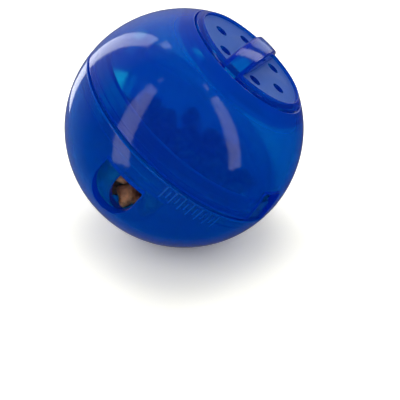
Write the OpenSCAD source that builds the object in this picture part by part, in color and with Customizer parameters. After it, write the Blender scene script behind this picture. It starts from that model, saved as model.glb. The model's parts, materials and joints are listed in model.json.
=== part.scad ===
// Treat ball: two turning half shells over an inner shutter bowl, and a bayonet lid with a strap.
// Each piece is drawn upright about the ball's centre, lid up, and then laid down as it rests on the floor.

/* [Ball] */
// Outer diameter of the ball
ball_d = 76; // [66:1:100]
// Wall of the two outer half shells
shell_wall = 2.4; // [2:0.1:3]
// Height of the groove between the half shells
seam_gap = 1.0; // [0.8:0.1:2]
// Running clearance between neighbouring pieces
slip = 0.3; // [0.2:0.05:0.4]

/* [Dispensing openings] */
// Number of openings round the ball
opening_count = 3; // [1:1:3]
// Width of an opening
opening_w = 14.8; // [12:0.2:18]
// Height of an opening, from its flat edge to the end of its round
opening_h = 19; // [16:0.2:22]
// Length of an opening's straight sides
opening_side = 6.5; // [3:0.5:7]
// Radius of an opening's round end
opening_end_r = 5.2; // [4:0.1:5.6]
// How far below the seam the middle of an opening points, in degrees
opening_drop = 28.5; // [27:0.5:36]
// Turn of the shutter from fully open to closed
closing_turn = 30; // [28:1:40]
// Turn of the shutter from fully open, as it is set
setting = 10.6; // [0:0.1:28]

/* [Portion scale] */
// Number of lines in the scale
tick_count = 13; // [5:2:17]
// Turn from an opening to the middle of its scale
scale_turn = 32.3; // [30:0.1:50]
// Width of a line
tick_w = 0.4; // [0.3:0.05:0.8]
// Depth of a line
tick_depth = 0.35; // [0.2:0.05:0.6]
// Length of a long line, from the seam's edge
tick_long = 5.2; // [4:0.1:6]
// Length of a short line
tick_short = 2.7; // [1.5:0.1:3.5]

/* [Shutter bowl] */
// Wall of the shutter bowl
shutter_wall = 2; // [1.6:0.1:3]
// Height of its collar above the middle of the seam
collar_h = 6.3; // [5.4:0.1:8]
// Radius of the snap beads
bead_r = 0.9; // [0.6:0.05:1.1]
// How far the snap beads stand out
bead_proud = 0.7; // [0.5:0.05:0.8]
// Height of the snap beads above and below the seam
bead_rise = 3.2; // [2.8:0.1:3.8]

/* [Drive keys] */
// Number of windows in the upper shell, each with a key of the shutter in it
key_count = 2; // [1:1:3]
// Turn from an opening to a window
window_turn = 71.4; // [60:0.1:80]
// Width of a window
window_w = 9.1; // [6:0.1:12]
// Height of a window above the middle of the seam
window_h = 10.5; // [9:0.1:13]
// How far a key's face lies below the ball's surface
key_sink = 1.4; // [0.8:0.1:1.8]
// Number of grip ribs on a key
rib_count = 3; // [1:1:3]
// Spacing of the grip ribs
rib_pitch = 1; // [0.9:0.1:1.2]
// Width of a grip rib, and how far it stands out
rib_w = 0.4; // [0.3:0.05:0.6]

/* [Lid] */
// Diameter of the lid
lid_d = 42; // [36:0.5:46]
// Width of the lid's rim
rim_w = 2; // [1.2:0.1:2.6]
// Depth of the panels below the inner edge of the rim
recess = 1.2; // [0.5:0.1:1.5]
// Thickness of the panels
panel_t = 1.8; // [1.4:0.1:2.4]
// Width of the strap
strap_w = 7; // [5:0.1:8]
// Wall of the strap, which is hollow underneath
strap_wall = 1.5; // [1:0.1:1.8]
// Number of vent holes
vent_count = 6; // [4:2:6]
// Diameter of a vent hole
vent_d = 3.9; // [2:0.1:4.4]
// Diameter of the circle that the vent holes lie on
vent_circle_d = 24.8; // [22:0.1:26]

/* [Bayonet] */
// Number of lugs
lug_count = 3; // [2:1:4]
// Turn that a lug takes up
lug_arc = 24; // [16:1:26]
// Height of a lug
lug_h = 1.8; // [1.2:0.1:2.4]
// Wall of the lid's skirt
skirt_wall = 1.6; // [1.2:0.1:2.2]
// Wall of the neck under the lid
neck_wall = 2; // [1.4:0.1:2.6]
// Width of the ledges that the lugs turn under
ledge_w = 1.8; // [1.4:0.1:2.4]
// Thickness of the ledges
ledge_t = 1.6; // [1.2:0.1:2.2]
// Turn of the lid from locked to free
lid_turn = 40; // [36:1:46]

/* [Resting pose] */
// Lean of the ball's axis from upright, towards +X
lean = 39.4; // [0:0.1:80]
// Turn of the first opening about the ball's axis
facing = -115; // [-180:0.1:180]

/* [Hidden] */
$fn = 96;
far = 2 * ball_d;

// Radii of the nested spheres
ball_r = ball_d / 2;
shell_in = ball_r - shell_wall;
shutter_r = shell_in - slip;
shutter_in = shutter_r - shutter_wall;

// Openings, in the plane across the way that they point
opening_r = opening_w / 2;
opening_half = opening_h / 2;
end_r = min(opening_end_r, 0.9 * opening_r);
end_at = end_r - opening_half;
spring = opening_half - opening_side;
arch_h = opening_h - opening_side;
arch_r = (opening_r ^ 2 + arch_h ^ 2 - 2 * arch_h * end_r) / (2 * (opening_r - end_r));
arch_turn = atan2(spring - end_at, arch_r - opening_r);
arch_steps = 6;
end_steps = 12;

// Scale, whose first and last lines are the ends of the shutter's turn
seam_edge = seam_gap / 2;
tick_step = closing_turn / (tick_count - 1);

// Snap beads, on the shutter's surface
bead_ring = sqrt(shutter_r ^ 2 - bead_rise ^ 2) + bead_proud - bead_r;

// Lid, from the sphere that its rim and strap follow
lid_r = lid_d / 2;
port_r = lid_r + slip;
recess_r = lid_r - rim_w;
panel_top = sqrt(ball_r ^ 2 - recess_r ^ 2) - recess;
panel_under = panel_top - panel_t;

// Bayonet, downwards from the lid's panels
ledge_top = panel_under - slip;
ledge_under = ledge_top - ledge_t;
ledge_in = port_r - ledge_w;
lug_top = ledge_under - slip;
skirt_end = lug_top - lug_h;
skirt_r = ledge_in - slip;
skirt_in = skirt_r - skirt_wall;
neck_r = port_r + neck_wall;
neck_end = skirt_end - slip;
lug_slack = 3;
stop_slack = 1;
stop_arc = 4;
slot_arc = lug_arc + 2 * lug_slack;
lug_pitch = 360 / lug_count;
weld = shell_wall / 4;

// Lays the ball down on the floor
module laid() {
    translate([0, 0, ball_r]) rotate([0, lean, 0]) rotate([0, 0, facing]) children();
}

// Copies a shape evenly round the ball's axis
module around(count) {
    for (i = [0:count - 1]) rotate([0, 0, i * 360 / count]) children();
}

// Everything below a height
module below(z) {
    translate([-far / 2, -far / 2, z - far]) cube(far);
}

// A ring between two radii and two heights
module ring(r_in, r_out, z_low, z_high) {
    translate([0, 0, z_low]) difference() {
        cylinder(r = r_out, h = z_high - z_low);
        translate([0, 0, -1]) cylinder(r = r_in, h = z_high - z_low + 2);
    }
}

// A stretch of such a ring, centred on a turn
module arc_block(r_in, r_out, z_low, z_high, arc, turn) {
    translate([0, 0, z_low]) rotate([0, 0, turn - arc / 2]) rotate_extrude(angle = arc)
        translate([r_in, 0]) square([r_out - r_in, z_high - z_low]);
}

// A point on an arc
function on_arc(x, y, r, turn) = [x + r * cos(turn), y + r * sin(turn)];

// An opening's outline: a flat top, straight sides, and an arch of two wide arcs and a round end
module opening_outline() {
    arch = [for (i = [0:arch_steps]) on_arc(opening_r - arch_r, spring, arch_r, -arch_turn * i / arch_steps)];
    end = [for (i = [1:end_steps - 1]) on_arc(0, end_at, end_r, -arch_turn - (180 - 2 * arch_turn) * i / end_steps)];
    mirrored = [for (i = [arch_steps:-1:0]) [-arch[i][0], arch[i][1]]];
    polygon(concat([[opening_r, opening_half]], arch, end, mirrored, [[-opening_r, opening_half]]));
}

// The cut that the openings make through a wall
module opening_cuts() {
    around(opening_count) rotate([0, opening_drop, 0]) rotate([0, 90, 0]) rotate([0, 0, 90])
        linear_extrude(far) opening_outline();
}

// A snap bead or, grown by the clearance, the groove that it runs in
module bead(z, grow = 0) {
    translate([0, 0, z]) rotate_extrude() translate([bead_ring, 0]) circle(r = bead_r + grow, $fn = 32);
}

// The lines of the portion scale, cut into the surface only
module scale_cuts() {
    middle = (tick_count - 1) / 2;
    short_inset = (tick_long - tick_short) / 2;
    difference() {
        for (i = [0:tick_count - 1]) {
            is_long = i % 2 == 0;
            top = is_long ? 0 : -seam_edge - short_inset;
            bottom = -seam_edge - tick_long + (is_long ? 0 : short_inset);
            rotate([0, 0, scale_turn + (i - middle) * tick_step])
                translate([shell_in, -tick_w / 2, bottom])
                    cube([2 * shell_wall, tick_w, top - bottom]);
        }
        sphere(r = ball_r - tick_depth);
    }
}

// A drive key's block between two heights, out to a radius
module key_block(width, z_low, z_high, reach) {
    intersection() {
        translate([shutter_in, -width / 2, z_low]) cube([far, width, z_high - z_low]);
        sphere(r = reach);
    }
}

// A drive key with its grip ribs
module drive_key() {
    key_w = window_w - 2 * slip;
    key_face = ball_r - key_sink;
    key_block(key_w, slip - seam_edge, collar_h, key_face);
    for (i = [0:rib_count - 1])
        key_block(key_w, seam_edge + i * rib_pitch, seam_edge + i * rib_pitch + rib_w, key_face + rib_w);
}

module lower_shell() {
    color("royalblue") laid() difference() {
        intersection() {
            sphere(r = ball_r);
            below(-seam_edge);
        }
        sphere(r = shell_in);
        opening_cuts();
        bead(-bead_rise, slip);
        scale_cuts();
    }
}

module shutter_bowl() {
    color("mediumblue") laid() difference() {
        union() {
            intersection() {
                sphere(r = shutter_r);
                below(collar_h);
            }
            bead(bead_rise);
            bead(-bead_rise);
            rotate([0, 0, window_turn]) around(key_count) drive_key();
        }
        sphere(r = shutter_in);
        rotate([0, 0, setting]) opening_cuts();
    }
}

// The ledges that hold the lid's lugs down, with a stop under them past each end of a lug's way
module ledges() {
    stop_turn = (slot_arc + stop_arc) / 2 + stop_slack;
    around(lug_count) {
        arc_block(ledge_in, port_r + weld, ledge_under, ledge_top, lug_pitch - slot_arc, lid_turn + lug_pitch / 2);
        for (turn = [-stop_turn, lid_turn + stop_turn])
            arc_block(ledge_in + slip, port_r + weld / 2, neck_end, ledge_under + ledge_t / 2, stop_arc, turn);
    }
}

module upper_shell() {
    color("royalblue") laid() {
        difference() {
            union() {
                difference() {
                    sphere(r = ball_r);
                    sphere(r = shell_in);
                    below(seam_edge);
                }
                intersection() {
                    translate([0, 0, neck_end]) cylinder(r = neck_r, h = ball_r);
                    sphere(r = ball_r - weld);
                }
            }
            cylinder(r = port_r, h = far);
            bead(bead_rise, slip);
            rotate([0, 0, window_turn]) around(key_count)
                translate([0, -window_w / 2, -window_h]) cube([far, window_w, 2 * window_h]);
        }
        ledges();
    }
}

// A bar across the lid, from a height up to a sphere
module lid_bar(width, half_length, z_low, reach) {
    intersection() {
        translate([-half_length, -width / 2, z_low]) cube([2 * half_length, width, far]);
        sphere(r = reach);
    }
}

module lid() {
    color("cornflowerblue") laid() difference() {
        union() {
            intersection() {
                sphere(r = ball_r);
                ring(recess_r, lid_r, panel_under, ball_r);
            }
            lid_bar(strap_w, recess_r + weld, panel_under, ball_r);
            translate([0, 0, panel_under]) cylinder(r = recess_r + weld, h = panel_t);
            ring(skirt_in, skirt_r, skirt_end, panel_top - weld);
            around(lug_count) arc_block(skirt_r - weld, lid_r, skirt_end, lug_top, lug_arc, 0);
        }
        lid_bar(strap_w - 2 * strap_wall, skirt_in, panel_under - slip, ball_r - strap_wall);
        rotate([0, 0, 180 / vent_count]) around(vent_count)
            translate([vent_circle_d / 2, 0, 0]) cylinder(d = vent_d, h = far);
    }
}

lower_shell();
shutter_bowl();
upper_shell();
lid();
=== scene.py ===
import json
import math
import random

import bmesh
import bpy
from mathutils import Euler, Matrix, Vector, noise


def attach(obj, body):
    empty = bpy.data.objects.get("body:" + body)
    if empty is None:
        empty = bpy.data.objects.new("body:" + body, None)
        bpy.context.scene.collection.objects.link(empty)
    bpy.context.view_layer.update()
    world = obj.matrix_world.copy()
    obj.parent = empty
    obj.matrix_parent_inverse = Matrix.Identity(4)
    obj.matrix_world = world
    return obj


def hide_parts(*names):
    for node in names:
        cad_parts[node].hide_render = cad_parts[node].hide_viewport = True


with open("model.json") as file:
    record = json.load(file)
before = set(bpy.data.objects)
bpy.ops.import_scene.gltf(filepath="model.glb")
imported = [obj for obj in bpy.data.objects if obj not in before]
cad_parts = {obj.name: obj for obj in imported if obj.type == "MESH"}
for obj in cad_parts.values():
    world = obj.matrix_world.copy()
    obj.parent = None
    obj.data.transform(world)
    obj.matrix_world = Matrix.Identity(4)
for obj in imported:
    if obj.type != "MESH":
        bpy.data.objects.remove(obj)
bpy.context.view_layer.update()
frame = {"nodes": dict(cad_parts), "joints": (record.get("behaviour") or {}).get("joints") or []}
scene = bpy.context.scene
print("frame loaded:", ", ".join(sorted(frame["nodes"])))


# The four mouldings are drawn upright in millimetres about the ball's centre, and laid down in metres.
mm = 0.001
ball = {
    "outer": 38.0,
    "inner": 35.6,
    "seamHalf": 0.5,
    "beadRing": 34.955,  # radius of the ring that the snap beads' centres lie on
    "beadRise": 3.2,
    "facing": -115,  # turn of the first opening about the axis, in degrees
    "spinSteps": 240,
    "rimSteps": 5,  # faces across the round of an outer rim
    "roundSteps": 4,  # faces across a smaller round
    "bandSteps": 2,  # faces across the narrow band beside a rim
    "sharpAngle": 32,
    "onSphere": 0.012,  # how far a vertex may lie off a sphere and still count as on it
    "coreSlack": 0.15,  # how far past the grooves a face still counts as inside
}
pivot = Vector(frame["joints"][0]["pos_m"])
axis = Vector(frame["joints"][0]["axis"]).normalized()
lean = Euler((0, math.atan2(axis.x, axis.z), 0)).to_matrix().to_4x4()
laid = Matrix.Translation(pivot) @ lean @ Matrix.Rotation(math.radians(ball["facing"]), 4, "Z")
laid = laid @ Matrix.Scale(mm, 4)
upright = laid.inverted()


def vertsOf(parts):
    return [part for part in parts if isinstance(part, bmesh.types.BMVert)]


# Pen for profiles, which are drawn in the XZ plane
def startAt(bm, x, z):
    return bm.verts.new((x, 0, z))


def lineTo(bm, tip, x, z):
    new = bmesh.ops.extrude_vert_indiv(bm, verts=[tip])["verts"][0]
    new.co = (x, 0, z)
    return new


def arcTo(bm, tip, centre, toDeg, steps):
    # swings the tip round a centre, the short way, until it lies at an angle from +X
    x, z = centre
    fromDeg = math.degrees(math.atan2(tip.co.z - z, tip.co.x - x))
    turn = (toDeg - fromDeg + 180) % 360 - 180
    swung = bmesh.ops.spin(
        bm,
        geom=[tip],
        cent=(x, 0, z),
        axis=(0, -1, 0),
        angle=math.radians(turn),
        steps=steps,
    )
    return vertsOf(swung["geom_last"])[0]


def angleOf(point):
    return math.degrees(math.atan2(point[1], point[0]))


def touching(radius, level):
    # the point of a circle about the ball's centre at a level
    return math.sqrt(radius**2 - level**2), level


def beadMeets(radius, beadRound, rise):
    # angles about the ball's centre where a bead's circle crosses a sphere, high one first
    far = math.hypot(ball["beadRing"], rise)
    cosine = (radius**2 + far**2 - beadRound**2) / (2 * radius * far)
    half = math.degrees(math.acos(cosine))
    middle = angleOf((ball["beadRing"], rise))
    return middle + half, middle - half


def beadAngle(radius, polarDeg, rise):
    # the same crossing as an angle about the bead's own centre
    x = radius * math.cos(math.radians(polarDeg)) - ball["beadRing"]
    z = radius * math.sin(math.radians(polarDeg)) - rise
    return math.degrees(math.atan2(z, x))


def spinProfile(bm, steps):
    bmesh.ops.spin(
        bm,
        geom=bm.verts[:] + bm.edges[:],
        cent=(0, 0, 0),
        axis=(0, 0, 1),
        angle=math.tau,
        steps=steps,
        use_merge=True,
    )
    bmesh.ops.remove_doubles(bm, verts=bm.verts[:], dist=1e-4)
    bmesh.ops.recalc_face_normals(bm, faces=bm.faces[:])


def newObject(name, bm):
    mesh = bpy.data.meshes.new(name)
    bm.to_mesh(mesh)
    bm.free()
    obj = bpy.data.objects.new(name, mesh)
    scene.collection.objects.link(obj)
    return obj


def combine(obj, tool, operation):
    # applies one boolean with a helper object, and removes the helper
    mod = obj.modifiers.new(operation.lower(), "BOOLEAN")
    mod.operation = operation
    mod.solver = "EXACT"
    mod.object = tool
    bpy.context.view_layer.update()
    done = obj.evaluated_get(bpy.context.evaluated_depsgraph_get())
    old = obj.data
    obj.data = bpy.data.meshes.new_from_object(done)
    obj.data.name = obj.name
    obj.modifiers.clear()
    bpy.data.meshes.remove(old)
    helper = tool.data
    bpy.data.objects.remove(tool)
    bpy.data.meshes.remove(helper)


def rotateAbout(bm, verts, about, angle):
    bmesh.ops.rotate(bm, verts=verts, cent=(0, 0, 0), matrix=Matrix.Rotation(angle, 3, about))


def copiesAround(bm, count, firstDeg=0):
    # turns what is drawn about the axis, and copies it evenly round the ball
    rotateAbout(bm, bm.verts[:], "Z", math.radians(firstDeg))
    original = bm.verts[:] + bm.edges[:] + bm.faces[:]
    for i in range(1, count):
        made = bmesh.ops.duplicate(bm, geom=original)["geom"]
        rotateAbout(bm, vertsOf(made), "Z", math.tau * i / count)


def fillAndExtrude(bm, near, depth):
    # closes a drawn outline, draws it out along +Y from a distance, and turns it to face +X
    bmesh.ops.contextual_create(bm, geom=bm.edges[:])
    out = bmesh.ops.extrude_face_region(bm, geom=bm.faces[:])["geom"]
    bmesh.ops.translate(bm, verts=vertsOf(out), vec=(0, depth, 0))
    bmesh.ops.recalc_face_normals(bm, faces=bm.faces[:])
    bmesh.ops.translate(bm, verts=bm.verts[:], vec=(0, near, 0))
    rotateAbout(bm, bm.verts[:], "Z", -math.pi / 2)


def arcBlock(bm, rIn, rOut, low, high, arcDeg, midDeg, steps):
    # a stretch of a ring with a square section
    section = ((rIn, low), (rOut, low), (rOut, high), (rIn, high))
    corners = [bm.verts.new((x, 0, z)) for x, z in section]
    face = bm.faces.new(corners)
    rotateAbout(bm, corners, "Z", math.radians(midDeg - arcDeg / 2))
    bmesh.ops.spin(
        bm, geom=[face], cent=(0, 0, 0), axis=(0, 0, 1), angle=math.radians(arcDeg), steps=steps
    )
    bmesh.ops.recalc_face_normals(bm, faces=bm.faces[:])


def domeBlock(bm, ends, width, cuts, radius, floor):
    # a block along X whose top lies on a sphere about the ball's centre
    low, high = ends
    grid = bmesh.ops.create_grid(bm, x_segments=cuts[0], y_segments=cuts[1], size=0.5)["verts"]
    bmesh.ops.scale(bm, verts=grid, vec=(high - low, width, 1))
    bmesh.ops.translate(bm, verts=grid, vec=((low + high) / 2, 0, 0))
    raised = vertsOf(bmesh.ops.extrude_face_region(bm, geom=bm.faces[:])["geom"])
    for vert in grid:
        vert.co.z = floor
    for vert in raised:
        vert.co.z = math.sqrt(radius**2 - vert.co.x**2 - vert.co.y**2)
    bmesh.ops.recalc_face_normals(bm, faces=bm.faces[:])
    return raised


def bevelEdges(bm, edges, size, segments):
    bmesh.ops.bevel(
        bm,
        geom=edges,
        offset=size,
        offset_type="OFFSET",
        segments=segments,
        profile=0.5,
        affect="EDGES",
        clamp_overlap=False,
        material=-1,
    )


def softenTop(bm, raised, size, segments):
    # rounds the edges round the top of a dome block
    sharp = 0.7  # radians, more than the top itself bends
    tops = set(raised)
    edges = []
    for edge in bm.edges:
        if edge.verts[0] in tops and edge.verts[1] in tops and edge.calc_face_angle() > sharp:
            edges.append(edge)
    bevelEdges(bm, edges, size, segments)


rimCut = {
    "merge": 0.02,
    "sharp": 45,  # least bend of an edge that is rounded, in degrees
    "crowding": 1.6,  # a vertex nearer a rim than this many rounds is in the way
    "segments": 3,
}


def roundRims(obj, radii, size):
    # rounds the sharp edges that a cut left on the ball's spheres
    it = rimCut
    bm = bmesh.new()
    bm.from_mesh(obj.data)
    bmesh.ops.remove_doubles(bm, verts=bm.verts[:], dist=it["merge"])

    def onSphere(vert):
        return any(abs(vert.co.length - r) < ball["onSphere"] for r in radii)

    rims = []
    for edge in bm.edges:
        if len(edge.link_faces) == 2 and all(onSphere(v) for v in edge.verts):
            if math.degrees(edge.calc_face_angle()) > it["sharp"]:
                rims.append(edge)
    rimVerts = {v for edge in rims for v in edge.verts}

    def crowdsRim(edge, vert):
        return edge.other_vert(vert) in rimVerts and edge.calc_length() < it["crowding"] * size

    # vertices of the old grid that lie too near a rim would fold over in the bevel
    crowded = []
    for vert in bm.verts:
        if vert not in rimVerts and any(crowdsRim(edge, vert) for edge in vert.link_edges):
            if onSphere(vert):
                crowded.append(vert)
    bmesh.ops.dissolve_verts(bm, verts=crowded)
    bevelEdges(bm, [edge for edge in rims if edge.is_valid], size, it["segments"])
    bmesh.ops.recalc_face_normals(bm, faces=bm.faces[:])
    bm.to_mesh(obj.data)
    bm.free()


# How nearly something points straight out, as a cosine, to get a sphere's own normal
outwardFrom = {"corner": 0.94, "sphereFace": 0.7, "ringFace": 0.3}


def layDown(obj, radii):
    # moves a finished mesh to its place, and smooths its spherical faces, beads and grooves
    mesh = obj.data
    mesh.transform(laid)
    mesh.polygons.foreach_set("use_smooth", [True] * len(mesh.polygons))
    mesh.set_sharp_from_angle(angle=math.radians(ball["sharpAngle"]))
    near = ball["onSphere"] * mm
    outward = []
    onSphere = []
    inRing = []
    rings = [lowerShell["grooveRound"] * mm, shutterBowl["beadRound"] * mm]
    for vert in mesh.vertices:
        ray = vert.co - pivot
        outward.append(ray.normalized())
        onSphere.append(any(abs(ray.length - r * mm) < near for r in radii))
        rise = ray.dot(axis)
        fromAxis = math.sqrt(max(ray.length_squared - rise**2, 0))
        gap = math.hypot(fromAxis - ball["beadRing"] * mm, abs(rise) - ball["beadRise"] * mm)
        inRing.append(any(abs(gap - r) < near for r in rings))
    normals = [Vector(corner.vector) for corner in mesh.corner_normals]
    for face in mesh.polygons:
        for loop in face.loop_indices:
            vert = mesh.loops[loop].vertex_index
            faceOut = face.normal.dot(outward[vert])
            cornerOut = abs(normals[loop].dot(outward[vert]))
            smooth = inRing[vert] and abs(faceOut) > outwardFrom["ringFace"]
            if onSphere[vert] and cornerOut > outwardFrom["corner"]:
                smooth = smooth or abs(faceOut) > outwardFrom["sphereFace"]
            if smooth:
                normals[loop] = outward[vert] * math.copysign(1, faceOut)
    mesh.normals_split_custom_set(normals)


# Dispensing openings, cut alike through the lower shell and the shutter bowl
opening = {
    "count": 3,
    "width": 14.8,
    "height": 19.0,
    "side": 6.5,
    "endRound": 5.2,
    "drop": 28.5,  # how far below the seam it points, in degrees
    "corner": 0.7,
    "near": 20,
    "depth": 25,
    "archSteps": 10,
    "endSteps": 18,
}


def openingTool(turnDeg):
    # an arch with a flat upper edge, drawn out through the wall
    it = opening
    corner = it["corner"]
    half = it["width"] / 2
    top = it["height"] / 2
    spring = top - it["side"]
    arch = it["height"] - it["side"]
    end = it["endRound"]
    endAt = end - top
    wide = (half**2 + arch**2 - 2 * arch * end) / (2 * (half - end))  # radius of the two wide arcs
    turn = angleOf((wide - half, spring - endAt))
    bm = bmesh.new()
    first = startAt(bm, half, top - corner)
    tip = arcTo(bm, first, (half - corner, top - corner), 90, ball["roundSteps"])
    tip = lineTo(bm, tip, corner - half, top)
    tip = arcTo(bm, tip, (corner - half, top - corner), 180, ball["roundSteps"])
    tip = lineTo(bm, tip, -half, spring)
    tip = arcTo(bm, tip, (wide - half, spring), 180 + turn, it["archSteps"])
    tip = arcTo(bm, tip, (0, endAt), -turn, it["endSteps"])
    tip = arcTo(bm, tip, (half - wide, spring), 0, it["archSteps"])
    bm.edges.new((tip, first))
    fillAndExtrude(bm, it["near"], it["depth"])
    rotateAbout(bm, bm.verts[:], "Y", math.radians(it["drop"]))
    copiesAround(bm, it["count"], turnDeg)
    return newObject("openingTool", bm)


# Lower shell
lowerShell = {
    "rimRound": 0.4,
    "innerRound": 0.2,
    "grooveRound": 1.2,
    "outerSteps": 60,
    "innerSteps": 56,
    "cutRound": 0.32,
    "ticks": 13,
    "tickStep": 2.5,
    "tickFaces": 6,  # faces along a line
    "scaleTurn": 32.3,
    "tickWidth": 0.4,
    "tickDepth": 0.35,
    "tickProud": 0.65,  # how far the cutting bars stand out of the ball
    "tickLong": (0.0, -5.7),  # heights of a line's two ends
    "tickShort": (-1.75, -4.45),
    "markSlack": (0.05, 0.03),  # below a line's floor, and below the ball's face
    "markTop": -1.2,  # highest level where a face counts as part of a line
    "highlightDepth": 0.4,  # how deep the seam's edge reaches where its lighter finish paints a highlight
}


def makeLowerShell():
    it = lowerShell
    outer, inner, rim = ball["outer"], ball["inner"], -ball["seamHalf"]
    rimAt = touching(outer - it["rimRound"], rim - it["rimRound"])
    innerAt = touching(inner + it["innerRound"], rim - it["innerRound"])
    grooveAt = (ball["beadRing"], -ball["beadRise"])
    high, low = beadMeets(inner, it["grooveRound"], grooveAt[1])
    bm = bmesh.new()
    tip = startAt(bm, 0, -outer)
    tip = arcTo(bm, tip, (0, 0), angleOf(rimAt), it["outerSteps"])
    tip = arcTo(bm, tip, rimAt, 90, ball["rimSteps"])
    tip = lineTo(bm, tip, innerAt[0], rim)
    tip = arcTo(bm, tip, innerAt, 180 + angleOf(innerAt), ball["roundSteps"])
    tip = arcTo(bm, tip, (0, 0), high, ball["bandSteps"])
    tip = arcTo(bm, tip, grooveAt, 0, ball["roundSteps"])
    tip = arcTo(bm, tip, grooveAt, beadAngle(inner, low, grooveAt[1]), ball["roundSteps"])
    arcTo(bm, tip, (0, 0), -90, it["innerSteps"])
    spinProfile(bm, ball["spinSteps"])
    obj = newObject("lowerShell", bm)
    combine(obj, openingTool(0), "DIFFERENCE")
    roundRims(obj, (outer, inner), it["cutRound"])
    combine(obj, tickTool(), "DIFFERENCE")
    layDown(obj, (outer, inner))
    return obj


def tickTool():
    # the fine lines of the portion scale, each a bar bent along the ball
    it = lowerShell
    floor = ball["outer"] - it["tickDepth"]
    far = ball["outer"] + it["tickProud"]
    side = it["tickWidth"] / 2
    section = ((floor, -side), (far, -side), (far, side), (floor, side))
    bm = bmesh.new()
    for i in range(it["ticks"]):
        ends = it["tickLong"] if i % 2 == 0 else it["tickShort"]
        high, low = (math.asin(z / ball["outer"]) for z in ends)
        turn = math.radians(it["scaleTurn"] + (i - (it["ticks"] - 1) / 2) * it["tickStep"])
        corners = [bm.verts.new((x, y, 0)) for x, y in section]
        face = bm.faces.new(corners)
        rotateAbout(bm, corners, "Y", -high)
        rotateAbout(bm, corners, "Z", turn)
        bmesh.ops.spin(
            bm,
            geom=[face],
            cent=(0, 0, 0),
            axis=(-math.sin(turn), math.cos(turn), 0),
            angle=high - low,
            steps=it["tickFaces"],
        )
    bmesh.ops.recalc_face_normals(bm, faces=bm.faces[:])
    return newObject("tickTool", bm)


# Shutter bowl
shutterBowl = {
    "outer": 35.3,
    "inner": 33.3,
    "collar": 6.3,
    "rimRound": 0.35,
    "beadRound": 0.9,
    "outerSteps": 56,
    "beltSteps": 3,  # faces between the two beads
    "innerSteps": 65,
    "cutRound": 0.32,
    "setting": 10.6,
    "keys": 2,
    "keyTurn": 71.4,
    "keyWidth": 8.5,
    "keyFoot": -0.2,
    "keyGap": 0.02,  # from a key's top to the collar's
    "keyFace": 36.6,
    "keyRoot": 34.0,
    "keyRound": 0.3,
    "keyCuts": (8, 10),
    "ribs": 3,
    "ribPitch": 1.0,
    "ribWidth": 0.4,
    "ribInset": 0.8,
    "ribFoot": 0.5,
    "ribRoot": 36.0,
    "ribRound": 0.12,
    "ribCuts": (3, 10),
    "clearAside": (9, 14),  # degrees from a key, where the clear collar starts and is full
    "clearFoot": -1,  # level where it starts
    "clearUnder": 2,  # how far under the collar's edge it is full
}


def makeShutterBowl():
    it = shutterBowl
    outer, inner, rim = it["outer"], it["inner"], it["collar"]
    rimAt = touching(outer - it["rimRound"], rim - it["rimRound"])
    innerAt = touching(inner + it["rimRound"], rim - it["rimRound"])
    bm = bmesh.new()
    tip = startAt(bm, 0, -outer)
    for rise, steps in ((-ball["beadRise"], it["outerSteps"]), (ball["beadRise"], it["beltSteps"])):
        high, low = beadMeets(outer, it["beadRound"], rise)
        beadAt = (ball["beadRing"], rise)
        tip = arcTo(bm, tip, (0, 0), low, steps)
        tip = arcTo(bm, tip, beadAt, 0, ball["roundSteps"])
        tip = arcTo(bm, tip, beadAt, beadAngle(outer, high, rise), ball["roundSteps"])
    tip = arcTo(bm, tip, (0, 0), angleOf(rimAt), ball["bandSteps"])
    tip = arcTo(bm, tip, rimAt, 90, ball["roundSteps"])
    tip = lineTo(bm, tip, innerAt[0], rim)
    tip = arcTo(bm, tip, innerAt, 180 + angleOf(innerAt), ball["roundSteps"])
    arcTo(bm, tip, (0, 0), -90, it["innerSteps"])
    spinProfile(bm, ball["spinSteps"])
    obj = newObject("shutterBowl", bm)
    combine(obj, openingTool(it["setting"]), "DIFFERENCE")
    roundRims(obj, (outer, inner), it["cutRound"])
    combine(obj, keyTool(), "UNION")
    for i in range(it["ribs"]):
        combine(obj, ribTool(it["ribFoot"] + i * it["ribPitch"]), "UNION")
    layDown(obj, (outer, inner, it["keyFace"]))
    return obj


def standOnCollar(bm, name):
    # turns a block to face out from the collar, once for each key
    rotateAbout(bm, bm.verts[:], "Y", math.pi / 2)
    copiesAround(bm, shutterBowl["keys"], shutterBowl["keyTurn"])
    return newObject(name, bm)


def keyTool():
    it = shutterBowl
    ends = (it["keyGap"] - it["collar"], -it["keyFoot"])
    bm = bmesh.new()
    raised = domeBlock(bm, ends, it["keyWidth"], it["keyCuts"], it["keyFace"], it["keyRoot"])
    softenTop(bm, raised, it["keyRound"], segments=3)
    return standOnCollar(bm, "keyTool")


def ribTool(foot):
    it = shutterBowl
    ends = (-foot - it["ribWidth"], -foot)
    width = it["keyWidth"] - 2 * it["ribInset"]
    reach = it["keyFace"] + it["ribWidth"]
    bm = bmesh.new()
    raised = domeBlock(bm, ends, width, it["ribCuts"], reach, it["ribRoot"])
    softenTop(bm, raised, it["ribRound"], segments=2)
    return standOnCollar(bm, "ribTool")


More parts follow.
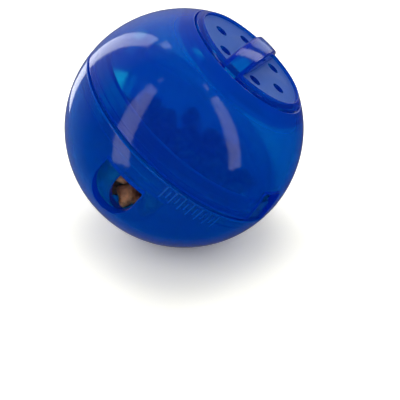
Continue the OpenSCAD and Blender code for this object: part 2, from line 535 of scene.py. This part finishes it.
# Upper shell
upperShell = {
    "port": 21.3,
    "neck": 23.3,
    "neckEnd": 25.61,
    "rimRound": 0.4,
    "innerRound": 0.2,
    "portRound": 0.45,
    "neckRound": 0.3,
    "grooveRound": 1.2,
    "outerSteps": 38,
    "innerSteps": 30,
    "cutRound": 0.3,
    "windows": 2,
    "windowTurn": 71.4,
    "windowWidth": 9.1,
    "windowTop": 10.5,
    "windowFoot": -2,
    "windowCorner": 0.6,
    "windowNear": 30,
    "windowDepth": 15,
    "lugs": 3,
    "ledge": (19.5, 21.9, 28.01, 29.61),  # inner and outer radius, low and high level
    "ledgeArc": 90,
    "ledgeTurn": 100,
    "ledgeSteps": 60,
    "stop": (19.8, 21.6, 25.63, 28.81),
    "stopArc": 4,
    "stopTurns": (-18, 58),
    "stopSteps": 4,
    "skin": 0.6,  # depth of the outer face that may be hazier
    "hazeReach": (7, 1.5),  # beyond the neck, where the haze starts and is full
}


def makeUpperShell():
    it = upperShell
    outer, inner, rim = ball["outer"], ball["inner"], ball["seamHalf"]
    rimAt = touching(outer - it["rimRound"], rim + it["rimRound"])
    innerAt = touching(inner + it["innerRound"], rim + it["innerRound"])
    portX = it["port"] + it["portRound"]
    portAt = (portX, math.sqrt((outer - it["portRound"]) ** 2 - portX**2))
    neckAt = it["neckEnd"] + it["neckRound"]
    joinZ = math.sqrt(inner**2 - it["neck"] ** 2)
    grooveAt = (ball["beadRing"], ball["beadRise"])
    high, low = beadMeets(inner, it["grooveRound"], grooveAt[1])
    bm = bmesh.new()
    tip = startAt(bm, innerAt[0], rim)
    tip = lineTo(bm, tip, rimAt[0], rim)
    tip = arcTo(bm, tip, rimAt, angleOf(rimAt), ball["rimSteps"])
    tip = arcTo(bm, tip, (0, 0), angleOf(portAt), it["outerSteps"])
    tip = arcTo(bm, tip, portAt, 180, ball["rimSteps"])
    tip = lineTo(bm, tip, it["port"], neckAt)
    tip = arcTo(bm, tip, (it["port"] + it["neckRound"], neckAt), -90, ball["roundSteps"])
    tip = lineTo(bm, tip, it["neck"] - it["neckRound"], it["neckEnd"])
    tip = arcTo(bm, tip, (it["neck"] - it["neckRound"], neckAt), 0, ball["roundSteps"])
    tip = lineTo(bm, tip, it["neck"], joinZ)
    tip = arcTo(bm, tip, (0, 0), high, it["innerSteps"])
    tip = arcTo(bm, tip, grooveAt, 0, ball["roundSteps"])
    tip = arcTo(bm, tip, grooveAt, beadAngle(inner, low, grooveAt[1]), ball["roundSteps"])
    tip = arcTo(bm, tip, (0, 0), angleOf(innerAt), ball["bandSteps"])
    arcTo(bm, tip, innerAt, -90, ball["roundSteps"])
    spinProfile(bm, ball["spinSteps"])
    obj = newObject("upperShell", bm)
    combine(obj, windowTool(), "DIFFERENCE")
    roundRims(obj, (outer, inner), it["cutRound"])
    bm = bmesh.new()
    arcBlock(bm, *it["ledge"], it["ledgeArc"], it["ledgeTurn"], it["ledgeSteps"])
    copiesAround(bm, it["lugs"])
    combine(obj, newObject("ledgeTool", bm), "UNION")
    for turn in it["stopTurns"]:
        bm = bmesh.new()
        arcBlock(bm, *it["stop"], it["stopArc"], turn, it["stopSteps"])
        copiesAround(bm, it["lugs"])
        combine(obj, newObject("stopTool", bm), "UNION")
    layDown(obj, (outer, inner))
    return obj


def windowTool():
    # the windows that the drive keys stand in, open at the seam
    it = upperShell
    half = it["windowWidth"] / 2
    top = it["windowTop"]
    corner = it["windowCorner"]
    bm = bmesh.new()
    first = startAt(bm, half, it["windowFoot"])
    tip = lineTo(bm, first, half, top - corner)
    tip = arcTo(bm, tip, (half - corner, top - corner), 90, ball["roundSteps"])
    tip = lineTo(bm, tip, corner - half, top)
    tip = arcTo(bm, tip, (corner - half, top - corner), 180, ball["roundSteps"])
    tip = lineTo(bm, tip, -half, it["windowFoot"])
    bm.edges.new((tip, first))
    fillAndExtrude(bm, it["windowNear"], it["windowDepth"])
    copiesAround(bm, it["windows"], it["windowTurn"])
    return newObject("windowTool", bm)


# Lid
lid = {
    "radius": 21.0,
    "recess": 19.0,
    "panelTop": 31.71,
    "panelUnder": 29.91,
    "panelNear": 0.06,  # how far from the panels' level a face is still frosted
    "panelFacing": 0.9,  # least upward part of a frosted face's normal
    "skirt": (17.6, 19.2),
    "skirtEnd": 25.91,
    "rimRound": 0.35,
    "innerRound": 0.2,
    "footRound": 0.3,
    "spinSteps": 180,
    "strapWidth": 7.0,
    "strapHalf": 19.5,
    "strapTop": 37.97,
    "strapFloor": 30.6,
    "strapRound": 0.6,
    "strapCuts": (60, 8),
    "hollowWidth": 4.0,
    "hollowHalf": 17.6,
    "hollowTop": 36.5,
    "hollowFloor": 28.6,
    "hollowCuts": (60, 4),
    "hollowSlack": (0.05, 0.6),  # across the hollow, and above it
    "underSlack": 0.3,
    "vents": 6,
    "ventRadius": 1.95,
    "ventCircle": 12.4,
    "ventRound": 0.2,
    "ventSteps": 40,
    "ventDepth": 20,
    "ventSlack": 0.1,
    "ventLevel": 1e-3,  # how far from the panels' level a vent's edge may lie
    "ventSharp": 1,  # least bend of a vent's edge, in radians
    "lugs": 3,
    "lug": (18.6, 21.0, 25.94, 27.71),
    "lugArc": 24,
    "lugSteps": 16,
}


def makeLid():
    it = lid
    outer = ball["outer"]
    rimX = it["radius"] - it["rimRound"]
    rimAt = (rimX, math.sqrt((outer - it["rimRound"]) ** 2 - rimX**2))
    innerX = it["recess"] + it["innerRound"]
    innerAt = (innerX, math.sqrt((outer - it["innerRound"]) ** 2 - innerX**2))
    footX = it["recess"] - it["footRound"]
    bm = bmesh.new()
    tip = startAt(bm, footX, it["panelTop"])
    tip = arcTo(bm, tip, (footX, it["panelTop"] + it["footRound"]), 0, ball["roundSteps"])
    tip = lineTo(bm, tip, it["recess"], innerAt[1])
    tip = arcTo(bm, tip, innerAt, angleOf(innerAt), ball["roundSteps"])
    tip = arcTo(bm, tip, (0, 0), angleOf(rimAt), ball["bandSteps"])
    tip = arcTo(bm, tip, rimAt, 0, ball["roundSteps"])
    tip = lineTo(bm, tip, it["radius"], it["panelUnder"])
    tip = lineTo(bm, tip, it["skirt"][1], it["panelUnder"])
    tip = lineTo(bm, tip, it["skirt"][1], it["skirtEnd"])
    tip = lineTo(bm, tip, it["skirt"][0], it["skirtEnd"])
    lineTo(bm, tip, it["skirt"][0], it["panelUnder"])
    spinProfile(bm, it["spinSteps"])
    bmesh.ops.holes_fill(bm, edges=[edge for edge in bm.edges if edge.is_boundary], sides=0)
    bmesh.ops.recalc_face_normals(bm, faces=bm.faces[:])
    obj = newObject("ventedLid", bm)
    ends = (-it["strapHalf"], it["strapHalf"])
    bm = bmesh.new()
    raised = domeBlock(bm, ends, it["strapWidth"], it["strapCuts"], it["strapTop"], it["strapFloor"])
    softenTop(bm, raised, it["strapRound"], segments=4)
    combine(obj, newObject("strapTool", bm), "UNION")
    ends = (-it["hollowHalf"], it["hollowHalf"])
    bm = bmesh.new()
    domeBlock(bm, ends, it["hollowWidth"], it["hollowCuts"], it["hollowTop"], it["hollowFloor"])
    combine(obj, newObject("hollowTool", bm), "DIFFERENCE")
    bm = bmesh.new()
    bmesh.ops.create_cone(
        bm,
        cap_ends=True,
        segments=it["ventSteps"],
        radius1=it["ventRadius"],
        radius2=it["ventRadius"],
        depth=it["ventDepth"],
    )
    bmesh.ops.translate(bm, verts=bm.verts[:], vec=(it["ventCircle"], 0, it["panelTop"]))
    copiesAround(bm, it["vents"], 180 / it["vents"])
    combine(obj, newObject("ventTool", bm), "DIFFERENCE")
    roundVents(obj)
    bm = bmesh.new()
    arcBlock(bm, *it["lug"], it["lugArc"], 0, it["lugSteps"])
    copiesAround(bm, it["lugs"])
    combine(obj, newObject("lugTool", bm), "UNION")
    frosted = set()
    for face in obj.data.polygons:
        onPanel = abs(face.center.z - it["panelTop"]) < it["panelNear"]
        if onPanel and face.normal.z > it["panelFacing"]:
            frosted.add(face.index)
    layDown(obj, (outer, it["strapTop"]))
    return obj, frosted


def roundVents(obj):
    # rounds the upper edges of the vents
    it = lid
    bm = bmesh.new()
    bm.from_mesh(obj.data)
    edges = []
    for edge in bm.edges:
        middle = (edge.verts[0].co + edge.verts[1].co) / 2
        fromCircle = abs(math.hypot(middle.x, middle.y) - it["ventCircle"])
        atTop = abs(middle.z - it["panelTop"]) < it["ventLevel"]
        besideStrap = abs(middle.y) > it["strapWidth"] / 2
        if atTop and besideStrap and fromCircle < it["ventRadius"] + it["ventSlack"]:
            if len(edge.link_faces) == 2 and edge.calc_face_angle() > it["ventSharp"]:
                edges.append(edge)
    bevelEdges(bm, edges, it["ventRound"], segments=3)
    bm.to_mesh(obj.data)
    bm.free()


# Finishes
def newMaterial(name):
    mat = bpy.data.materials.new(name)
    mat.use_nodes = True
    tree = mat.node_tree
    tree.nodes.clear()
    return mat, tree


def node(tree, kind, **settings):
    made = tree.nodes.new(kind)
    for key, value in settings.items():
        if key in made.inputs:
            made.inputs[key].default_value = value
        else:
            setattr(made, key, value)
    return made


def remap(tree, value, fromRange, toRange):
    # stretches one range of a value over another
    made = node(tree, "ShaderNodeMapRange")
    for label, number in zip(("From Min", "From Max", "To Min", "To Max"), (*fromRange, *toRange)):
        made.inputs[label].default_value = number
    tree.links.new(value, made.inputs["Value"])
    return made.outputs["Result"]


def blend(tree, share, first, second):
    # mixes two shaders by a number or by a socket
    mix = node(tree, "ShaderNodeMixShader")
    if isinstance(share, bpy.types.NodeSocket):
        tree.links.new(share, mix.inputs[0])
    else:
        mix.inputs[0].default_value = share
    tree.links.new(first, mix.inputs[1])
    tree.links.new(second, mix.inputs[2])
    return mix.outputs[0]


clearBlue = {
    "pigment": (0.0, 0.088, 0.93, 1),
    "clear": (0.93, 0.97, 1.0, 1),
    "glow": (0.0, 0.19, 1.0, 1),
    "haze": 0.4,  # share of the light that the plastic scatters
    "through": 0.45,  # share of the scattered light that goes on through the wall
    "absorbed": (0.0, 0.922, 0.988, 1),
    "density": 1800,
    "ior": 1.49,
    "rough": (0.06, 0.12),
    "patchScale": 165,
    "patchRange": (0.35, 0.7),
    "waveScale": 55,
    "waveBump": 0.05,
    "waveHeight": 0.004,
    "scuffScale": 900,
    "scuffBump": 0.02,
    "scuffHeight": 0.0002,
}
frostedBlue = dict(clearBlue, rough=(0.5, 0.62), scuffScale=2600, scuffBump=0.25, haze=0.55)
frostedBlue.update(pigment=(0.02, 0.17, 0.8, 1), through=0.2)
markBlue = dict(clearBlue, rough=(0.4, 0.5), pigment=(0.015, 0.24, 0.72, 1), haze=0.9, through=0.1)
coreBlue = dict(clearBlue, rough=(0.11, 0.17), haze=0.22)  # the inner walls are less polished
thickBlue = dict(clearBlue, haze=0.62, through=0.2, pigment=(0.0, 0.075, 0.66, 1))
collarBlue = dict(coreBlue, haze=0.1, rough=(0.3, 0.4))
# a lighter, hazier finish for the lower shell's seam edge: a painted highlight where the edge would
# catch the light
seamHighlightBlue = dict(clearBlue, haze=0.6, through=0.1, pigment=(0.0, 0.11, 0.62, 1))
bowlBlue = dict(coreBlue, haze=0.33, pigment=(0.0, 0.26, 1.0, 1))
lowerBlue = dict(clearBlue, pigment=(0.0, 0.13, 0.93, 1))


def plasticSurface(tree, look):
    link = tree.links.new
    place = node(tree, "ShaderNodeTexCoord")
    wave = node(tree, "ShaderNodeTexNoise", Scale=look["waveScale"], Detail=1)
    scuff = node(tree, "ShaderNodeTexNoise", Scale=look["scuffScale"], Detail=4)
    patch = node(tree, "ShaderNodeTexNoise", Scale=look["patchScale"], Detail=5)
    for texture in (wave, scuff, patch):
        link(place.outputs["Object"], texture.inputs["Vector"])
    rough = remap(tree, patch.outputs["Fac"], look["patchRange"], look["rough"])
    ripple = node(tree, "ShaderNodeBump", Strength=look["waveBump"], Distance=look["waveHeight"])
    link(wave.outputs["Fac"], ripple.inputs["Height"])
    grain = node(tree, "ShaderNodeBump", Strength=look["scuffBump"], Distance=look["scuffHeight"])
    link(scuff.outputs["Fac"], grain.inputs["Height"])
    link(ripple.outputs["Normal"], grain.inputs["Normal"])
    hazy = node(tree, "ShaderNodeBsdfPrincipled", IOR=look["ior"])
    hazy.inputs["Base Color"].default_value = look["pigment"]
    clear = node(tree, "ShaderNodeBsdfPrincipled", IOR=look["ior"])
    clear.inputs["Base Color"].default_value = look["clear"]
    clear.inputs["Transmission Weight"].default_value = 1
    for shader in (hazy, clear):
        link(rough, shader.inputs["Roughness"])
        link(grain.outputs["Normal"], shader.inputs["Normal"])
    glow = node(tree, "ShaderNodeBsdfTranslucent", Color=look["glow"])
    cloud = blend(tree, look["through"], hazy.outputs[0], glow.outputs[0])
    return blend(tree, look["haze"], clear.outputs[0], cloud)


def makePlastic(name, look, **regions):
    # one material for a whole moulding, whose attributes say where its surface differs
    mat, tree = newMaterial(name)
    surface = plasticSurface(tree, look)
    for region, finish in regions.items():
        where = node(tree, "ShaderNodeAttribute", attribute_name=region)
        surface = blend(tree, where.outputs["Fac"], surface, plasticSurface(tree, finish))
    inside = node(tree, "ShaderNodeVolumeAbsorption", Color=look["absorbed"], Density=look["density"])
    out = node(tree, "ShaderNodeOutputMaterial")
    tree.links.new(surface, out.inputs["Surface"])
    tree.links.new(inside.outputs[0], out.inputs["Volume"])
    return mat


# Regions of a moulding's surface
def markFaces(obj, region, chosen):
    # marks the faces that pass a test
    marks = obj.data.attributes.new(region, "FLOAT", "FACE")
    for face in obj.data.polygons:
        marks.data[face.index].value = 1 if chosen(face) else 0


def markFade(obj, region, amount):
    # marks a region that fades in over the vertices
    marks = obj.data.attributes.new(region, "FLOAT", "POINT")
    for vert in obj.data.vertices:
        marks.data[vert.index].value = amount(upright @ vert.co)


def fade(value, none, full):
    share = min(max((value - none) / (full - none), 0), 1)
    return share * share * (3 - 2 * share)


def onTick(face):
    # the walls and floors of the scale's lines
    it = lowerShell
    spot = upright @ face.center
    underFloor, underFace = it["markSlack"]
    deepest = ball["outer"] - it["tickDepth"] - underFloor
    atDepth = deepest < spot.length < ball["outer"] - underFace
    return atDepth and it["tickLong"][1] < spot.z < it["markTop"]


def onSeamHighlight(face):
    # the rounded edge at the seam, given a lighter, hazier finish as a painted highlight
    it = lowerShell
    spot = upright @ face.center
    atSeam = spot.z > -ball["seamHalf"] - it["rimRound"]
    return atSeam and spot.length > ball["outer"] - it["highlightDepth"]


def onCore(face):
    # the shells' inner walls with their grooves, neck and ledges
    grooveFloor = ball["beadRing"] + lowerShell["grooveRound"]
    return (upright @ face.center).length < grooveFloor + ball["coreSlack"]


def underLid(face):
    # the lid's underside, and the hollow in the strap
    it = lid
    spot = upright @ face.center
    across, above = it["hollowSlack"]
    inHollow = abs(spot.y) < it["hollowWidth"] / 2 + across and spot.length < it["hollowTop"] + above
    return spot.z < it["panelTop"] - it["underSlack"] or inHollow


def overNeck(spot):
    # the plastic is hazier where more of it lies behind the outer face
    it = upperShell
    if spot.z < 0 or spot.length < ball["outer"] - it["skin"]:
        return 0
    starts, full = (it["neck"] + reach for reach in it["hazeReach"])
    return fade(math.hypot(spot.x, spot.y), starts, full)


def onCollar(spot):
    # the collar is clear away from its keys, so its edge hardly shows through the upper shell
    it = shutterBowl
    around = math.degrees(math.atan2(spot.y, spot.x))
    aside = math.remainder(around - it["keyTurn"], 360 / it["keys"])
    rise = fade(spot.z, it["clearFoot"], it["collar"] - it["clearUnder"])
    return fade(abs(aside), *it["clearAside"]) * rise


# Pieces, their finishes and the bodies that they move with
lowerFinish = makePlastic("clearBlueLower", lowerBlue, core=coreBlue, edge=seamHighlightBlue, matt=markBlue)
shutterFinish = makePlastic("clearBlueShutter", bowlBlue, collar=collarBlue)
upperFinish = makePlastic("clearBlueUpper", clearBlue, core=coreBlue, thick=thickBlue)
lidFinish = makePlastic("clearBlueLid", clearBlue, core=coreBlue, matt=frostedBlue)
lowerPiece = makeLowerShell()
shutterPiece = makeShutterBowl()
upperPiece = makeUpperShell()
lidPiece, panelFaces = makeLid()
for piece, finish, body, cadNode, slot in (
    (lowerPiece, lowerFinish, "lower", "lower_shell", "shell_plastic"),
    (shutterPiece, shutterFinish, "upper", "shutter_bowl", "shutter_plastic"),
    (upperPiece, upperFinish, "upper", "upper_shell", "shell_plastic"),
    (lidPiece, lidFinish, "lid", "lid", "lid_plastic"),
):
    piece.data.materials.clear()
    piece.data.materials.append(finish)
    for face in piece.data.polygons:
        face.material_index = 0
    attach(piece, body)
    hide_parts(cadNode)
markFade(upperPiece, "thick", overNeck)
markFade(shutterPiece, "collar", onCollar)
markFaces(lowerPiece, "core", onCore)
# the seam's rounded edge gets the painted highlight
markFaces(lowerPiece, "edge", onSeamHighlight)
markFaces(lowerPiece, "matt", onTick)
markFaces(upperPiece, "core", onCore)
markFaces(lidPiece, "core", underLid)
markFaces(lidPiece, "matt", lambda face: face.index in panelFaces)
print("shells, shutter and lid made")


# Kibble, in millimetres from the centre of the ball as it lies
kibble = {
    "count": 92,
    "downhill": Vector((-0.37, 0, -1)),  # the heap lies higher on the left
    "seed": 7,
    "atOpening": Vector((-17.2, -20.2, -11.7)),  # one piece lies where the opening shows it
    "behindIt": Vector((-20.6, -11.5, -14.0)),
    "lobe": Vector((-0.5, -0.43, -0.74)),  # the way one of its lobes points
    "flat": Vector((0, -0.87, 0.5)),  # the way its flat side faces
    "lobes": 4,
    "reach": 5.2,  # from a piece's middle to the end of a lobe
    "dip": 0.68,  # share of the reach that is left between two lobes
    "half": 2.9,  # half of the thickness
    "lump": 0.12,
    "lumpScale": 1.7,
    "lumpShift": 90,
    "room": 33.0,
    "spacing": 6.7,
    "tries": 900,
    "dark": (0.28, 0.085, 0.03, 1),
    "light": (0.88, 0.38, 0.16, 1),
    "blotches": (0.35, 0.68),  # where the dark colour ends and the light one starts
    "blotchScale": 420,
    "crumbScale": 1500,
    "crumbBump": 0.5,
    "crumbHeight": 0.0006,
    "rough": 0.65,
}


def makeKibbleMaterial():
    it = kibble
    mat, tree = newMaterial("bakedKibble")
    link = tree.links.new
    place = node(tree, "ShaderNodeTexCoord")
    blotch = node(tree, "ShaderNodeTexNoise", Scale=it["blotchScale"], Detail=4)
    crumb = node(tree, "ShaderNodeTexNoise", Scale=it["crumbScale"], Detail=6)
    for texture in (blotch, crumb):
        link(place.outputs["Object"], texture.inputs["Vector"])
    ramp = node(tree, "ShaderNodeValToRGB")
    colours = (it["dark"], it["light"])
    for stop, position, colour in zip(ramp.color_ramp.elements, it["blotches"], colours):
        stop.position = position
        stop.color = colour
    link(blotch.outputs["Fac"], ramp.inputs["Fac"])
    bump = node(tree, "ShaderNodeBump", Strength=it["crumbBump"], Distance=it["crumbHeight"])
    link(crumb.outputs["Fac"], bump.inputs["Height"])
    baked = node(tree, "ShaderNodeBsdfPrincipled", Roughness=it["rough"])
    link(ramp.outputs["Color"], baked.inputs["Base Color"])
    link(bump.outputs["Normal"], baked.inputs["Normal"])
    out = node(tree, "ShaderNodeOutputMaterial")
    link(baked.outputs[0], out.inputs["Surface"])
    return mat


def kibbleSpots(dice):
    # each piece is dropped to the lowest free place of many in the bowl
    it = kibble
    limit = it["room"] - it["reach"]
    spots = [it["atOpening"], it["behindIt"]]
    for i in range(it["count"]):
        best = None
        for t in range(it["tries"]):
            spot = Vector([dice.uniform(-limit, limit) for k in range(3)])
            if spot.length > limit:
                continue
            if any((spot - other).length < it["spacing"] for other in spots):
                continue
            if best is None or spot.dot(it["downhill"]) > best.dot(it["downhill"]):
                best = spot
        if best is not None:
            spots.append(best)
    return spots


def makeKibble():
    # a charge of star-shaped pieces
    it = kibble
    dice = random.Random(it["seed"])
    size = it["reach"]
    bm = bmesh.new()
    for spot in kibbleSpots(dice):
        verts = bmesh.ops.create_icosphere(bm, subdivisions=3, radius=1)["verts"]
        shift = Vector([dice.uniform(0, it["lumpShift"]) for k in range(3)])
        for vert in verts:
            around = math.atan2(vert.co.y, vert.co.x)
            flat = math.hypot(vert.co.x, vert.co.y)
            lobe = it["dip"] + (1 - it["dip"]) * (0.5 + 0.5 * math.cos(it["lobes"] * around))
            lump = 1 + it["lump"] * noise.noise(vert.co * it["lumpScale"] + shift)
            spread = size * (1 - flat + flat * lobe) * lump / (1 + it["lump"])
            vert.co.x *= spread
            vert.co.y *= spread
            vert.co.z *= it["half"] * lump
        turn = Euler([dice.uniform(0, math.tau) for k in range(3)]).to_matrix()
        if spot is it["atOpening"]:
            along, up = it["lobe"].normalized(), it["flat"].normalized()
            turn = Matrix((along, up.cross(along), up)).transposed()
        bmesh.ops.rotate(bm, verts=verts, cent=(0, 0, 0), matrix=turn)
        bmesh.ops.translate(bm, verts=verts, vec=spot)
    bmesh.ops.recalc_face_normals(bm, faces=bm.faces[:])
    for face in bm.faces:
        face.smooth = True
    bmesh.ops.transform(bm, matrix=Matrix.Translation(pivot) @ Matrix.Scale(mm, 4), verts=bm.verts[:])
    return newObject("kibbleCharge", bm)


kibblePiece = makeKibble()
kibblePiece.data.materials.append(makeKibbleMaterial())
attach(kibblePiece, "lower")
print("kibble laid in the bowl")


# Floor, white to the camera and still darkened by the ball's shadow
floorLook = {"size": 6, "colour": (0.75, 0.75, 0.75, 1), "seen": (1.6, 1.58, 1.42, 1)}


def makeFloor():
    bm = bmesh.new()
    bmesh.ops.create_grid(bm, x_segments=1, y_segments=1, size=floorLook["size"] / 2)
    obj = newObject("floor", bm)
    mat, tree = newMaterial("whiteSweep")
    path = node(tree, "ShaderNodeLightPath")
    card = node(tree, "ShaderNodeBsdfDiffuse", Color=floorLook["colour"])
    shown = node(tree, "ShaderNodeBsdfDiffuse", Color=floorLook["seen"])
    surface = blend(tree, path.outputs["Is Camera Ray"], card.outputs[0], shown.outputs[0])
    out = node(tree, "ShaderNodeOutputMaterial")
    tree.links.new(surface, out.inputs["Surface"])
    obj.data.materials.append(mat)
    obj.visible_glossy = False


makeFloor()


# Light: an overhead softbox, and eight upright strips that stand a metre from the ball
strips = {
    "leftFront": {"azimuth": -147.5, "width": 0.31, "radiance": 2.0, "low": -0.2, "high": 1.65},
    "leftFrontTop": {"azimuth": -150, "width": 0.1, "radiance": 1.2, "low": 2.1, "high": 2.6},
    "rightFront": {"azimuth": -45.5, "width": 0.21, "radiance": 2.0, "low": -0.2, "high": 1.3},
    "rightFrontTop": {"azimuth": -45, "width": 0.12, "radiance": 1.4, "low": 1.75, "high": 2.4},
    "leftBack": {"azimuth": 123.5, "width": 0.26, "radiance": 3.0, "low": -0.3, "high": 1.32},
    "leftBackTop": {"azimuth": 117.5, "width": 0.19, "radiance": 2.0, "low": 1.6, "high": 2.4},
    "rightBackLow": {"azimuth": 61, "width": 0.26, "radiance": 0.9, "low": -0.1, "high": 0.4},
    "rightBack": {"azimuth": 42.5, "width": 0.19, "radiance": 2.7, "low": 0.3, "high": 1.0},
}
overhead = {"size": 0.9, "place": (0.1, 0.2, 1.4), "radiance": 1.9}


def areaLight(name, width, height, radiance, place, target, glossy):
    lamp = bpy.data.lights.new(name, "AREA")
    lamp.shape = "RECTANGLE"
    lamp.size = width
    lamp.size_y = height
    lamp.energy = radiance * math.pi * width * height
    obj = bpy.data.objects.new(name, lamp)
    scene.collection.objects.link(obj)
    obj.location = place
    obj.rotation_euler = (Vector(target) - Vector(place)).to_track_quat("-Z", "Y").to_euler()
    obj.visible_glossy = glossy
    obj.visible_transmission = False


def makeLights():
    for name, strip in strips.items():
        around = math.radians(strip["azimuth"])
        height = strip["high"] - strip["low"]
        level = (strip["high"] + strip["low"]) / 2
        place = Vector((math.cos(around), math.sin(around), level))
        areaLight(name, strip["width"], height, strip["radiance"], place, (0, 0, level), glossy=True)
    side = overhead["size"]
    areaLight("overhead", side, side, overhead["radiance"], overhead["place"], (0, 0, 0), glossy=False)


# Room: even light, mirrored as a pale wall behind the ball, and white to the camera
room = {
    "white": (1, 1, 1, 1),
    "fill": 0.56,
    "front": 0.008,
    "edge": 0.64,
    "below": 0.45,
    "right": 0.1,
    "backRange": (0.14, 0.95),
    "levelRange": (-0.25, 0.25),
    "sideRange": (-0.2, 0.7),
}


def multiply(tree, first, second):
    made = node(tree, "ShaderNodeMath", operation="MULTIPLY")
    tree.links.new(first, made.inputs[0])
    tree.links.new(second, made.inputs[1])
    return made.outputs[0]


def makeRoom():
    scene.world = bpy.data.worlds.new("studio")
    scene.world.use_nodes = True
    tree = scene.world.node_tree
    tree.nodes.clear()
    link = tree.links.new
    path = node(tree, "ShaderNodeLightPath")
    place = node(tree, "ShaderNodeTexCoord")
    split = node(tree, "ShaderNodeSeparateXYZ")
    link(place.outputs["Generated"], split.inputs[0])
    back = remap(tree, split.outputs["Y"], room["backRange"], (room["front"], room["edge"]))
    level = remap(tree, split.outputs["Z"], room["levelRange"], (room["below"], 1))
    aside = remap(tree, split.outputs["X"], room["sideRange"], (1, room["right"]))
    mirrored = node(tree, "ShaderNodeBackground", Color=room["white"])
    link(multiply(tree, back, multiply(tree, level, aside)), mirrored.inputs["Strength"])
    fill = node(tree, "ShaderNodeBackground", Color=room["white"], Strength=room["fill"])
    seen = node(tree, "ShaderNodeBackground", Color=room["white"])
    light = blend(tree, path.outputs["Is Glossy Ray"], fill.outputs[0], mirrored.outputs[0])
    shown = blend(tree, path.outputs["Is Camera Ray"], light, seen.outputs[0])
    out = node(tree, "ShaderNodeOutputWorld")
    link(shown, out.inputs["Surface"])


makeLights()
makeRoom()
print("floor, lights and room made")


# Camera, turned a little so that the ball stands where the photograph has it
view = {
    "distance": 8.5 * ball["outer"] * mm,  # from the ball's centre
    "elevation": 30,
    "lens": 90.7,
    "sensor": 36,
    "nearest": 0.01,
    "ballAt": (184.3, 128.9),  # pixels in the photograph's frame
    "frame": 400,
}


def makeCamera():
    data = bpy.data.cameras.new("camera")
    data.lens = view["lens"]
    data.sensor_width = view["sensor"]
    data.clip_start = view["nearest"]
    obj = bpy.data.objects.new("camera", data)
    scene.collection.objects.link(obj)
    up = math.radians(view["elevation"])
    ray = Vector((0, -math.cos(up), math.sin(up)))
    obj.location = pivot + view["distance"] * ray
    pixels = view["lens"] / view["sensor"] * view["frame"]
    across = (view["ballAt"][0] - view["frame"] / 2) / pixels
    above = (view["frame"] / 2 - view["ballAt"][1]) / pixels
    straight = (-ray).to_track_quat("-Z", "Y").to_matrix()
    aside = Matrix.Rotation(math.atan(across), 3, "Y")
    tilt = Matrix.Rotation(-math.atan(above), 3, "X")
    obj.rotation_euler = (straight @ tilt @ aside).to_euler()
    scene.camera = obj


makeCamera()
scene.view_settings.view_transform = "Standard"

print("scene ready")
